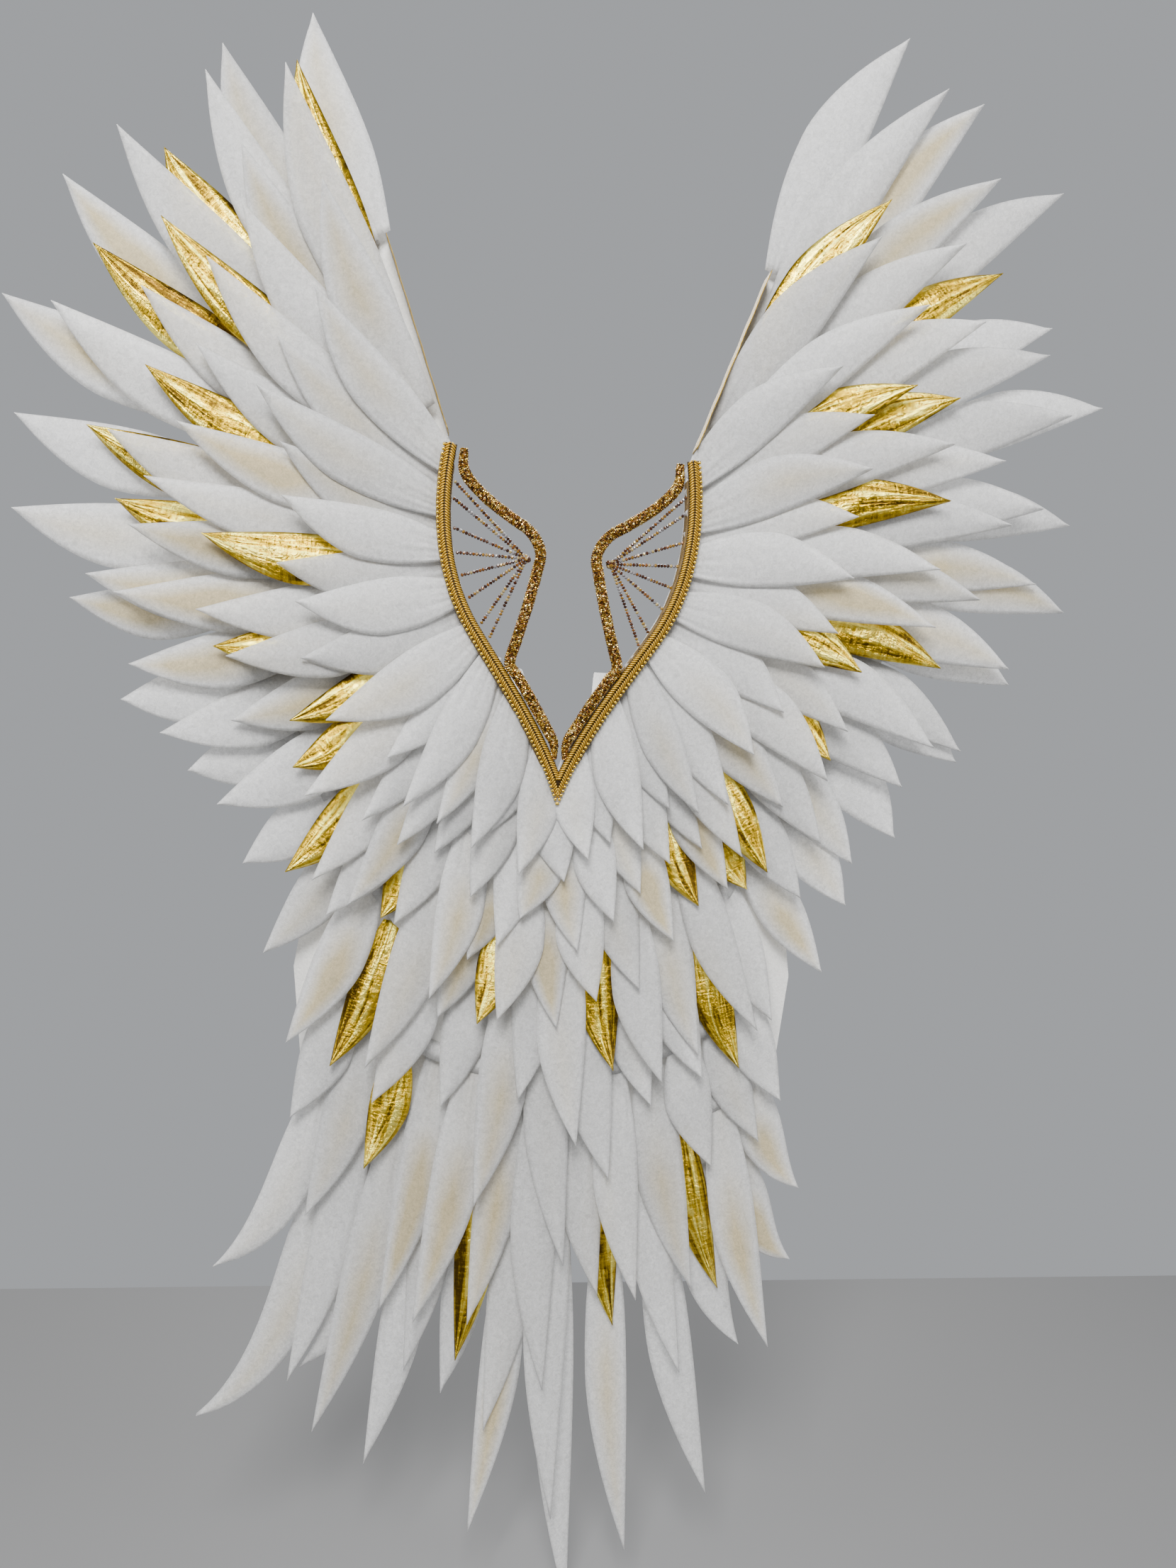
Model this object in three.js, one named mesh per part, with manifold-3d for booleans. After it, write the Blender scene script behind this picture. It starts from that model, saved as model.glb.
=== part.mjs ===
// A pair of costume angel wings: eight rows of long pointed feathers fanned round a V-shaped trim.
// Millimetres. X to the wearer's right, +Y towards the wearer, +Z up. The origin is the middle of
// the back plate's face, which lies against the wearer's back.
import * as THREE from "three";
import { mergeVertices } from "three/addons/utils/BufferGeometryUtils.js";
import Module from "manifold-3d";

const wasm = await Module();
wasm.setup();

// Back plate, wing boards and shoulder straps
const clearance = 0.3;
const finestDetail = 0.05;
const plateWidth = 150;
const plateHeight = 260;
const plateThickness = 8;
const boardThickness = 3;
const boardRim = 34;
const boardRise = 70;
const strapWidth = 30;
const strapThickness = 2.5;
const strapDepth = 172;
const strapSpread = 128;
const strapTop = 318;

// Trim: the braid's centre line, the rope and the strings of beads inside it
const trimHalfWidth = 168;
const trimPoint = 152;
const trimHeight = 460;
const braidWidth = 18;
const braidThickness = 5;
const ropeDiameter = 15;
const stringDiameter = 4.8;
const knotDiameter = 12;
const edgeBandLength = 262;
const edgeBandDepth = 33;
const edgeBandThickness = 1.5;

// Feathers: the reach runs from the trim to the tips of the widest upper feathers
const reach = 660;
const featherWidth = 82;
const goldWidth = 70;
const goldReach = 0.9;
const featherThickness = 2;
const featherArch = 3.5;
const layerGap = 3.5;
const rootSpacing = 70;
const rootHeight = 22;
const riseSpan = 900;
const bandInner = 8;
const bandOuter = 12;
const bandCover = 1.2;
const wingLean = 11;
const trainLean = 4;
const hang = 8;
const trainDensity = 0.5;
const trainNarrowing = 0.16;
const tipShift = 0.6;
const tipUnevenness = 0.07;
const trainUnevenness = 0.13;
const turnUnevenness = 3.5;
const widthUnevenness = 0.07;
const flatHalfWidth = 420;
const sweepWidth = 380;
const sweepDepth = 70;
const drapeStart = 150;
const drapeHeight = 800;
const drapeDepth = 70;

const layerStep = featherArch + featherThickness + layerGap;
const riseSlope = (2 * layerStep) / rootSpacing;
const boardFront = -(plateThickness + clearance + boardThickness);
const bandFront = bandCover + featherThickness / 2;
const trimBack = boardFront - rootHeight - bandFront - riseSlope * bandOuter - featherArch;
const trimMiddle = trimBack - braidThickness / 2;
const degree = Math.PI / 180;

// One side of the trim, from the wing's top corner to its point, in two curves. Shares of the
// trim's half width, and of its height above the point.
const trimShares = [
  [[0.988, 1], [1.06, 0.843], [1.06, 0.626], [0.726, 0.452]],
  [[0.726, 0.452], [0.565, 0.361], [0.179, 0.174], [0, 0]],
];

// The fan of feathers on one side. Columns: direction above the horizontal in degrees, place of
// the root along the trim (0 at the top corner, 2 at the point), then how far rows 1 to 8 reach,
// as shares of the reach.
const fan = [
  [70, 0.0, 0.38, 0.56, 0.7, 0.8, 0.88, 0, 0, 0],
  [52, 0.05, 0.38, 0.57, 0.71, 0.82, 0.91, 0, 0, 0],
  [38, 0.15, 0.39, 0.56, 0.72, 0.84, 0.93, 0, 0, 0],
  [24, 0.33, 0.4, 0.58, 0.72, 0.84, 0.93, 0, 0, 0],
  [10, 0.5, 0.36, 0.56, 0.7, 0.82, 0.92, 0, 0, 0],
  [-5, 0.64, 0.34, 0.52, 0.64, 0.75, 0.85, 0, 0, 0],
  [-20, 0.82, 0.33, 0.48, 0.59, 0.68, 0.76, 0, 0, 0],
  [-35, 0.96, 0.33, 0.44, 0.52, 0.61, 0.67, 0.7, 0.7, 0.7],
  [-50, 1.1, 0.33, 0.44, 0.54, 0.62, 0.7, 0.78, 0.84, 0.9],
  [-60, 1.2, 0.33, 0.44, 0.56, 0.68, 0.82, 0.95, 1.1, 1.22],
  [-70, 1.4, 0.31, 0.44, 0.59, 0.76, 0.94, 1.13, 1.34, 1.5],
  [-80, 1.7, 0.27, 0.41, 0.58, 0.76, 0.96, 1.2, 1.42, 1.58],
  [-90, 2.0, 0.2, 0.35, 0.53, 0.73, 0.94, 1.18, 1.4, 1.56],
];

// The rows, front to back. count: feathers from one top corner to the other; first: direction of
// the outermost; root: distance of the roots from the trim, a share of the reach; width: share of
// the feather width; gold: which feathers, counted from the left, are gold.
const rows = [
  { count: 31, first: 44, root: 0, width: 0.88, gold: [] },
  { count: 34, first: 55, root: 0.094, width: 0.92, gold: [6, 9, 26, 29, 31] },
  { count: 35, first: 59, root: 0.197, width: 0.97, gold: [2, 4, 8, 10, 21, 23, 25, 27, 31, 34] },
  { count: 36, first: 61.5, root: 0.306, width: 1, gold: [0, 3, 5, 6, 11, 13, 16, 19, 23, 33] },
  { count: 35, first: 68, root: 0.44, width: 1, gold: [2, 13, 21] },
  { count: 13, first: -66, root: 0.636, width: 0.98, gold: [2] },
  { count: 12, first: -68, root: 0.8, width: 0.94, gold: [4, 7, 9] },
  { count: 10, first: -71, root: 0.95, width: 0.9, gold: [] },
];

// Feathers that stand out. Columns: row, feather counted from the left, sideways turn of the tip in
// degrees, extra length as a share of the reach.
const strays = [
  [4, 34, 0, 0.07],
  [4, 35, 0, 0.095],
  [5, 32, 0, 0.04],
  [5, 33, 0, 0.035],
  [7, 0, -40, 0],
  [7, 11, -26, 0],
  [8, 0, -50, 0],
  [8, 1, -42, 0],
  [8, 8, -20, 0],
  [8, 9, -44, 0],
];

// Cross sections along a feather. Columns: share of its length, share of its width, share of its
// arch. It ends in a point, off the middle.
const featherSections = [
  [0, 0.45, 0],
  [0.3, 0.97, 1],
  [0.7, 0.81, 1],
];

// The rope's free stretch, from the top corner to where it meets the braid: shares of the trim's
// half width and of its height above the point.
const ropeRoute = [
  [0.884, 0.985],
  [0.87, 0.92],
  [0.708, 0.855],
  [0.494, 0.8],
  [0.321, 0.759],
  [0.232, 0.702],
  [0.256, 0.641],
  [0.321, 0.539],
  [0.398, 0.437],
];
const ropeSteps = 20;
const ropeAlongSteps = 6;
const ropeSides = 8;
const stringSides = 6;
const ropeJoin = 1.3;
const ropeEnd = 1.78;
const knotPlace = [0.262, 0.68];
const stringPlaces = [0.17, 0.27, 0.44, 0.58, 0.71, 0.84, 0.99, 1.13];

// A shoulder strap's middle line: shares of its spread, its depth and its height, then the
// direction across its width in degrees, from upright (0) to crosswise (90).
const strapSections = [
  [0.6, -0.023, -0.3, 0],
  [0.8, 0.04, -0.3, 0],
  [0.98, 0.2, -0.3, 0],
  [1.08, 0.48, -0.29, 0],
  [1.1, 0.78, -0.2, 10],
  [1.03, 0.97, -0.02, 40],
  [0.92, 1.02, 0.25, 75],
  [0.78, 0.96, 0.55, 90],
  [0.66, 0.78, 0.85, 90],
  [0.58, 0.52, 0.98, 90],
  [0.52, 0.25, 0.97, 90],
  [0.48, 0.06, 0.82, 90],
  [0.47, -0.015, 0.66, 90],
  [0.47, -0.023, 0.41, 90],
];

const whiteCloth = new THREE.MeshStandardMaterial({ color: 0xf2f0ea, roughness: 0.85 });
const goldFoil = new THREE.MeshStandardMaterial({ color: 0xc9a042, roughness: 0.28, metalness: 0.9 });
const goldBraid = new THREE.MeshStandardMaterial({ color: 0xc2a05a, roughness: 0.5, metalness: 0.6 });
const bronzeRope = new THREE.MeshStandardMaterial({ color: 0x8a6234, roughness: 0.4, metalness: 0.5 });
const brownBeads = new THREE.MeshStandardMaterial({ color: 0x5a3320, roughness: 0.2, metalness: 0.2 });
const whiteBoard = new THREE.MeshStandardMaterial({ color: 0xe9e6df, roughness: 0.9 });

const wings = new THREE.Group();

function addPiece(name, geometry, material) {
  const mesh = new THREE.Mesh(geometry, material.clone());
  mesh.name = name;
  wings.add(mesh);
  return mesh;
}

function solidOf(geometry) {
  const bare = geometry.index ? geometry.toNonIndexed() : geometry.clone();
  for (const extra of ["normal", "uv"]) bare.deleteAttribute(extra);
  const merged = mergeVertices(bare, 1e-4);
  return new wasm.Manifold(new wasm.Mesh({
    numProp: 3,
    vertProperties: merged.attributes.position.array,
    triVerts: new Uint32Array(merged.index.array),
  }));
}

function geometryOf(solid) {
  const mesh = solid.getMesh();
  const geometry = new THREE.BufferGeometry();
  geometry.setAttribute("position", new THREE.BufferAttribute(mesh.vertProperties, 3));
  geometry.setIndex(new THREE.BufferAttribute(mesh.triVerts, 1));
  geometry.computeVertexNormals();
  return geometry;
}

// One solid from pieces that run into each other, with the closed gaps between them filled.
function join(geometries) {
  const whole = geometries.map(solidOf).reduce((sum, part) => sum.add(part));
  const outer = whole.decompose().filter((part) => part.volume() > 0);
  return geometryOf(outer.reduce((sum, part) => sum.add(part)).simplify(finestDetail));
}

// A closed solid through rings of as many points each. It ends in the tip, where one is given. The
// diagonals lean alternately, so that the two faces of a thin arched wall stay parallel.
function loft(rings, tip) {
  const size = rings[0].length;
  const points = rings.flat();
  const last = (rings.length - 1) * size;
  let faces = [];
  for (let start = 0; start < last; start += size) {
    for (let i = 0; i < size; i++) {
      const j = (i + 1) % size;
      if (i % 2 === 0) {
        faces.push([start + i, start + j, start + size + j]);
        faces.push([start + i, start + size + j, start + size + i]);
      } else {
        faces.push([start + i, start + j, start + size + i]);
        faces.push([start + j, start + size + j, start + size + i]);
      }
    }
  }
  for (let i = 1; i + 1 < size; i++) faces.push([0, i + 1, i]);
  if (tip) {
    points.push(tip);
    for (let i = 0; i < size; i++) faces.push([last + i, last + ((i + 1) % size), last + size]);
  } else {
    for (let i = 1; i + 1 < size; i++) faces.push([last, last + i, last + i + 1]);
  }
  const volume = faces.reduce(
    (sum, [a, b, c]) => sum + points[a].dot(points[b].clone().cross(points[c])),
    0,
  );
  if (volume < 0) faces = faces.map(([a, b, c]) => [a, c, b]);
  const geometry = new THREE.BufferGeometry().setFromPoints(points);
  geometry.setIndex(faces.flat());
  geometry.computeVertexNormals();
  return geometry;
}

const trimCurves = trimShares.map((shares) => new THREE.CubicBezierCurve(
  ...shares.map(([x, z]) => new THREE.Vector2(x * trimHalfWidth, trimPoint + z * trimHeight)),
));

function trimAt(place) {
  return place < 1 ? trimCurves[0].getPoint(place) : trimCurves[1].getPoint(place - 1);
}

// The unit normal of the trim, towards the inside of the V.
function trimInward(place) {
  const curve = place < 1 ? trimCurves[0] : trimCurves[1];
  const tangent = curve.getTangent(place < 1 ? place : place - 1);
  return new THREE.Vector2(tangent.y, -tangent.x);
}

const trimSteps = 20;
const trimLine = Array.from({ length: trimSteps + 1 }, (_, i) => trimAt((2 * i) / trimSteps));

function distanceToTrim(x, z) {
  const point = new THREE.Vector2(Math.abs(x), z);
  let nearest = Infinity;
  for (let i = 0; i < trimSteps; i++) {
    const along = trimLine[i + 1].clone().sub(trimLine[i]);
    const from = point.clone().sub(trimLine[i]);
    const share = THREE.MathUtils.clamp(from.dot(along) / along.lengthSq(), 0, 1);
    nearest = Math.min(nearest, from.sub(along.multiplyScalar(share)).length());
  }
  return nearest;
}

// Depth of a layer of feathers: each row rises from its roots over the row behind it. The sides
// sweep towards the wearer and the lower rows hang away from the wearer.
function layerDepth(layer, x, z) {
  const rise = riseSlope * riseSpan * (1 - Math.exp(-distanceToTrim(x, z) / riseSpan));
  const sweep = sweepDepth * (Math.max(0, Math.abs(x) - flatHalfWidth) / sweepWidth) ** 2;
  const drape = drapeDepth * (Math.max(0, -drapeStart - z) / drapeHeight) ** 2;
  return boardFront - rootHeight - rise + sweep - drape + layer * layerStep;
}

function fanAt(direction, column) {
  const after = Math.max(1, fan.findIndex((line) => line[0] <= direction));
  const [upper, lower] = [fan[after - 1], fan[after]];
  const share = (upper[0] - direction) / (upper[0] - lower[0]);
  return THREE.MathUtils.lerp(upper[column], lower[column], THREE.MathUtils.clamp(share, 0, 1));
}

// The point at a distance from the trim, in a direction of the fan. A side of -1 mirrors it.
function fanPoint(direction, distance, side) {
  const root = trimAt(fanAt(direction, 1));
  const angle = direction * degree;
  return new THREE.Vector2(
    side * (root.x + distance * Math.cos(angle)),
    root.y + distance * Math.sin(angle),
  );
}

const halvings = 30;
const longestRun = 3;

// How far along a direction of the fan the trim is left behind by a distance.
function runTo(direction, distance) {
  let near = 0;
  let far = longestRun * Math.abs(distance) + finestDetail;
  for (let i = 0; i < halvings; i++) {
    const run = (near + far) / 2;
    const spot = fanPoint(direction, run, 1);
    if (distanceToTrim(spot.x, spot.y) < distance) near = run;
    else far = run;
  }
  return far;
}

// The point on a row's line of roots, or inside the trim for a distance below 0.
function rootPoint(direction, distance, side) {
  if (distance >= 0) return fanPoint(direction, runTo(direction, distance), side);
  const place = fanAt(direction, 1);
  const spot = trimAt(place).addScaledVector(trimInward(place), -distance);
  return new THREE.Vector2(side * Math.max(spot.x, 0), spot.y);
}

const leanLevel = 50;
const leanBlend = 15;
const hangStart = -40;

// 0 on the wings, 1 on the train below them.
function trainShare(direction) {
  return THREE.MathUtils.smoothstep(-direction, leanLevel - leanBlend, leanLevel + leanBlend);
}

const hemSteps = 80;

// Directions that set a row's tips out evenly along its hem, from the middle outwards, and closer
// on the train.
function rowDirections(row) {
  const column = rows.indexOf(row) + 2;
  const tips = [];
  for (let i = 0; i <= hemSteps; i++) {
    const direction = THREE.MathUtils.lerp(-90, row.first, i / hemSteps);
    tips.push({ direction, point: fanPoint(direction, reach * fanAt(direction, column), 1), run: 0 });
    const denser = 1 + trainDensity * trainShare(direction);
    if (i > 0) tips[i].run = tips[i - 1].run + denser * tips[i].point.distanceTo(tips[i - 1].point);
  }
  const half = (row.count - 1) / 2;
  return Array.from({ length: row.count }, (_, i) => {
    const run = (Math.abs(i - half) / half) * tips[hemSteps].run;
    const after = Math.max(1, tips.findIndex((tip) => tip.run >= run - 1e-6));
    const [near, far] = [tips[after - 1], tips[after]];
    const share = (run - near.run) / (far.run - near.run);
    return {
      direction: THREE.MathUtils.lerp(near.direction, far.direction, share),
      side: i < half ? -1 : 1,
    };
  });
}

const featherSteps = 30;
const bendMiddle = 0.45;
const widestShare = 0.5;
const tipKind = 122;
const widthKind = 2;
const turnKind = 8;

// A repeatable unevenness from -1 to 1.
function unevenness(rowNumber, index, kind) {
  const value = Math.sin(rowNumber * 12.9898 + index * 78.233 + kind * 37.719) * 43758.5453;
  return 2 * (value - Math.floor(value)) - 1;
}

// Which way a feather leans: up (1) on the left wing, down (-1) on the right one, and outwards (1)
// on the train below them.
function leanAt(direction, side) {
  return side < 0 ? 1 : THREE.MathUtils.clamp((-leanLevel - direction) / leanBlend, -1, 1);
}

// How far a feather of the train turns from its place in the fan towards the vertical, in degrees.
function hangAt(direction) {
  const share = (hangStart - direction) / (hangStart + 90);
  return share > 0 ? hang * Math.sin(Math.PI * share) : 0;
}

// A feather of a full width and reach, whose root begins in the band at a distance from the trim.
// Its middle line is bent, and from the widest section on it runs towards one edge.
function featherSolid(rowNumber, index, place, start, fullWidth, fullReach) {
  const row = rows[rowNumber - 1];
  const layer = 2 * (rowNumber - 1) + (index % 2);
  const [curl, extra] = strays.find(([r, i]) => r === rowNumber && i === index)?.slice(2) ?? [0, 0];
  const { direction, side } = place;
  const train = trainShare(direction);
  const uneven = THREE.MathUtils.lerp(tipUnevenness, trainUnevenness, train);
  const longer = 1 + uneven * unevenness(rowNumber, index, tipKind);
  const wider = 1 + widthUnevenness * unevenness(rowNumber, index, widthKind);
  const narrower = 1 - trainNarrowing * train;
  const halfWidth = (fullWidth * row.width * wider * narrower) / 2;
  const startRun = start < 0 ? start : runTo(direction, start);
  const reachShare = fanAt(direction, rowNumber + 1) * longer + extra;
  const length = fullReach * reachShare - startRun;
  const leaning = leanAt(direction, side);
  const bend = leaning * THREE.MathUtils.mapLinear(direction, -90, boardRise, trainLean, wingLean);
  const turned = turnUnevenness * unevenness(rowNumber, index, turnKind);
  const heading = direction - hangAt(direction) + turned;
  const spot = fanPoint(direction, startRun, 1);
  const line = [];
  for (let i = 0; i <= featherSteps; i++) {
    const share = i / featherSteps;
    const angle = (heading + bend * (share - bendMiddle) - curl * share ** 3) * degree;
    line.push({ spot: spot.clone(), angle });
    spot.x += (length / featherSteps) * Math.cos(angle);
    spot.y += (length / featherSteps) * Math.sin(angle);
  }
  const point = (lengthShare, across, forward) => {
    const { spot: middle, angle } = line[Math.round(lengthShare * featherSteps)];
    const x = side * (middle.x - across * Math.sin(angle));
    const z = middle.y + across * Math.cos(angle);
    return new THREE.Vector3(x, layerDepth(layer, x, z) - forward, z);
  };
  const shift = halfWidth * tipShift * leaning;
  const rings = featherSections.map(([lengthShare, widthShare, archShare]) => {
    const half = halfWidth * widthShare;
    const middle = lengthShare > widestShare ? shift * (1 - widthShare) : 0;
    const arch = featherArch * archShare;
    return [
      point(lengthShare, middle + half, 0),
      point(lengthShare, middle, arch + featherThickness / 2),
      point(lengthShare, middle - half, 0),
      point(lengthShare, middle, arch - featherThickness / 2),
    ];
  });
  return loft(rings, point(1, shift, 0));
}

// The band that a row's feathers are sewn to, standing on the wing boards. It has a corner at
// every second feather, at each gold one, at the middle and at its ends. It can be grown on all
// sides.
function rowBand(rowNumber, places, growth) {
  const row = rows[rowNumber - 1];
  const root = reach * row.root;
  const last = places.length - 1;
  const corners = places.filter((_, i) => (
    i % 2 === 0 || row.gold.includes(i) || i === last / 2 || i === last
  ));
  return loft(corners.map(({ direction, side }) => {
    const near = rootPoint(direction, root - bandInner - growth, side);
    const far = rootPoint(direction, root + bandOuter + growth, side);
    const back = boardFront - clearance + growth;
    const front = (spot) => layerDepth(2 * (rowNumber - 1), spot.x, spot.y) - bandFront - growth;
    return [
      new THREE.Vector3(near.x, back, near.y),
      new THREE.Vector3(far.x, back, far.y),
      new THREE.Vector3(far.x, front(far), far.y),
      new THREE.Vector3(near.x, front(near), near.y),
    ];
  }));
}

let goldCount = 0;
rows.forEach((row, r) => {
  const rowNumber = r + 1;
  const places = rowDirections(row);
  const root = reach * row.root;
  const white = [rowBand(rowNumber, places, 0)];
  const clearOfBand = solidOf(rowBand(rowNumber, places, clearance));
  places.forEach((place, index) => {
    if (row.gold.includes(index)) {
      goldCount += 1;
      const goldRoot = root + bandOuter / 2;
      const whole = featherSolid(rowNumber, index, place, goldRoot, goldWidth, goldReach * reach);
      const gold = geometryOf(solidOf(whole).subtract(clearOfBand).simplify(finestDetail));
      addPiece(`gold_feather_${String(goldCount).padStart(2, "0")}`, gold, goldFoil);
    } else {
      const whiteRoot = root - bandInner / 2;
      white.push(featherSolid(rowNumber, index, place, whiteRoot, featherWidth, reach));
    }
  });
  addPiece(`feather_row_${rowNumber}`, join(white), whiteCloth);
});

// Wing boards, one a side, flat and open inside the trim. Their edge follows the last row of roots.
const boardSteps = 12;
const boardTurn = 10;
const boardOverlap = 6;
for (const [side, name] of [[-1, "wing_board_left"], [1, "wing_board_right"]]) {
  const outline = [];
  const deepest = (direction) => reach * Math.max(...rows
    .filter((row) => row.first > 0 || direction <= row.first + boardOverlap)
    .map((row) => row.root)) + boardRim;
  const seam = (spot) => new THREE.Vector2(side * Math.max(Math.abs(spot.x), clearance / 2), spot.y);
  for (let i = 0; i <= boardSteps; i++) {
    const place = (2 * i) / boardSteps;
    const inside = i > 0 ? bandInner : 0;
    outline.push(seam(trimAt(place).addScaledVector(trimInward(place), inside)));
  }
  for (let direction = -90; direction <= boardRise; direction += boardTurn) {
    outline.push(seam(rootPoint(direction, deepest(direction), side)));
  }
  const board = new THREE.ExtrudeGeometry(new THREE.Shape(outline), {
    depth: boardThickness,
    bevelEnabled: false,
    curveSegments: 1,
  });
  board.rotateX(Math.PI / 2);
  board.translate(0, boardFront + boardThickness, 0);
  addPiece(name, board, whiteBoard);
}

// Gold band standing on the inner edge of each board, above the top corner of the trim.
for (const [side, name] of [[-1, "edge_band_left"], [1, "edge_band_right"]]) {
  const depth = edgeBandDepth + boardThickness;
  const band = new THREE.BoxGeometry(edgeBandLength, depth, edgeBandThickness);
  const off = clearance + edgeBandThickness / 2;
  const middle = fanPoint(boardRise, edgeBandLength / 2 + braidWidth, 1);
  const angle = boardRise * degree;
  band.rotateY(-angle);
  band.translate(
    middle.x - off * Math.sin(angle),
    boardFront + boardThickness - depth / 2,
    middle.y + off * Math.cos(angle),
  );
  if (side < 0) band.rotateZ(Math.PI).translate(0, 2 * (boardFront + boardThickness) - depth, 0);
  addPiece(name, band, goldFoil);
}

// Braid along the trim, with a pointed corner at its foot.
const braidSteps = 19;
const braidPlaces = Array.from({ length: braidSteps }, (_, i) => (2 * i) / braidSteps);
const braidSection = (outer, inner) => [
  new THREE.Vector3(outer.x, trimBack, outer.y),
  new THREE.Vector3(inner.x, trimBack, inner.y),
  new THREE.Vector3(inner.x, trimBack - braidThickness, inner.y),
  new THREE.Vector3(outer.x, trimBack - braidThickness, outer.y),
];
const braidHalf = (side) => braidPlaces.map((place) => {
  const mirror = new THREE.Vector2(side, 1);
  const inward = trimInward(place).multiplyScalar(braidWidth / 2);
  return braidSection(
    trimAt(place).sub(inward).multiply(mirror),
    trimAt(place).add(inward).multiply(mirror),
  );
});
const pointMitre = braidWidth / 2 / Math.abs(trimInward(2).x);
addPiece("trim_braid", loft([
  ...braidHalf(-1),
  braidSection(
    new THREE.Vector2(0, trimPoint - pointMitre),
    new THREE.Vector2(0, trimPoint + pointMitre),
  ),
  ...braidHalf(1).reverse(),
]), goldBraid);

function circle(diameter, sides) {
  return new THREE.Shape(Array.from({ length: sides }, (_, i) => new THREE.Vector2(
    (diameter / 2) * Math.cos((2 * Math.PI * i) / sides),
    (diameter / 2) * Math.sin((2 * Math.PI * i) / sides),
  )));
}

function tube(points, diameter, sides, steps) {
  const route = new THREE.CatmullRomCurve3(points, false, "centripetal");
  return new THREE.ExtrudeGeometry(circle(diameter, sides), {
    steps,
    bevelEnabled: false,
    extrudePath: route,
  });
}

const ropeOffset = braidWidth / 2 + ropeDiameter / 2 + clearance;
for (const [side, ropeName, fanName] of [
  [-1, "rope_left", "bead_fan_left"],
  [1, "rope_right", "bead_fan_right"],
]) {
  const inTrim = ([x, z]) => new THREE.Vector3(
    side * x * trimHalfWidth,
    trimMiddle,
    trimPoint + z * trimHeight,
  );
  const route = ropeRoute.map(inTrim);
  for (let i = 0; i <= ropeAlongSteps; i++) {
    const place = THREE.MathUtils.lerp(ropeJoin, ropeEnd, i / ropeAlongSteps);
    const spot = trimAt(place).addScaledVector(trimInward(place), ropeOffset + 2 * clearance);
    route.push(new THREE.Vector3(side * spot.x, trimMiddle, spot.y));
  }
  addPiece(ropeName, tube(route, ropeDiameter, ropeSides, ropeSteps), bronzeRope);

  const knot = inTrim(knotPlace);
  knot.x += side * (ropeDiameter / 2 + knotDiameter / 2 + 2 * clearance);
  const strings = stringPlaces.map((place) => {
    const inward = trimInward(place);
    const edge = trimAt(place);
    const heading = new THREE.Vector2(Math.abs(knot.x), knot.z).sub(edge).normalize();
    const slant = Math.abs(heading.cross(inward));
    const short = braidWidth / 2 + 2 * clearance + (stringDiameter / 2) * slant;
    edge.addScaledVector(heading, short / heading.dot(inward));
    return tube([knot, new THREE.Vector3(side * edge.x, trimMiddle, edge.y)], stringDiameter, stringSides, 1);
  });
  const ball = new THREE.IcosahedronGeometry(knotDiameter / 2);
  ball.translate(knot.x, knot.y, knot.z);
  addPiece(fanName, join([ball, ...strings]), brownBeads);
}

// Plate that lies against the back, and the straps round the shoulders.
const plate = new THREE.BoxGeometry(plateWidth, plateThickness, plateHeight);
plate.translate(0, -plateThickness / 2, 0);
addPiece("back_plate", plate, whiteBoard);

for (const [side, name] of [[-1, "shoulder_strap_left"], [1, "shoulder_strap_right"]]) {
  const middles = strapSections.map(([x, y, z]) => new THREE.Vector3(
    side * x * strapSpread,
    y * strapDepth,
    z * strapTop,
  ));
  const route = new THREE.CatmullRomCurve3(middles, false, "centripetal");
  const rings = strapSections.map((section, i) => {
    const tangent = route.getTangent(i / (strapSections.length - 1));
    const turn = section[3] * degree;
    const across = new THREE.Vector3(-side * Math.sin(turn), 0, Math.cos(turn));
    across.addScaledVector(tangent, -across.dot(tangent)).normalize();
    const through = tangent.clone().cross(across).normalize();
    return [[1, 1], [-1, 1], [-1, -1], [1, -1]].map(([a, t]) => middles[i].clone()
      .addScaledVector(across, (a * strapWidth) / 2)
      .addScaledVector(through, (t * strapThickness) / 2));
  });
  addPiece(name, loft(rings), whiteCloth);
}

export default wings;
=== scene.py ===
"""Angel wings: eight rows of white feathers with gold ones between them, round a V of gold braid
with a stone-covered rope and fans of beaded strings inside it. Metres, +Z up, +Y to the wearer."""
import math
import bpy
import numpy as np
from mathutils import Matrix, Vector


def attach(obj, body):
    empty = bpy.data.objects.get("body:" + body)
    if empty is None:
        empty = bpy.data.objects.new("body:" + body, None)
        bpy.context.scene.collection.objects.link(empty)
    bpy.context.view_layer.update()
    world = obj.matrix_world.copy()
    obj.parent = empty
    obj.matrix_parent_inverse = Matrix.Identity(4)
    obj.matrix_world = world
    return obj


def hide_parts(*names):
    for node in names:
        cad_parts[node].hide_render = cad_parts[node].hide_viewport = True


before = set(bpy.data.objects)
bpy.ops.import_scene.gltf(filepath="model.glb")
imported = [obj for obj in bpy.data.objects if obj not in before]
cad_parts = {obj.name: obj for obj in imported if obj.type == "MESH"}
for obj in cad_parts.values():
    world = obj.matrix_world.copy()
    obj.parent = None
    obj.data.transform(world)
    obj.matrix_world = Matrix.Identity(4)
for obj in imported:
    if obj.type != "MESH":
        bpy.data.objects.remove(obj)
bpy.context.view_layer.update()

# Camera: behind the wearer, a little to the left of the middle, turned right, tipped down and
# rolled, with the tall frame of the photograph. The lens comes from the frame's focal length.
camera_place = Vector((-0.110, -1.470, 0.286))
camera_yaw = math.radians(6.1)
camera_pitch = math.radians(5.1)
camera_roll = math.radians(2.86)
frame_height_px = 2212
focal_length_px = 1440
sensor_height_mm = 24.0

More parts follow.
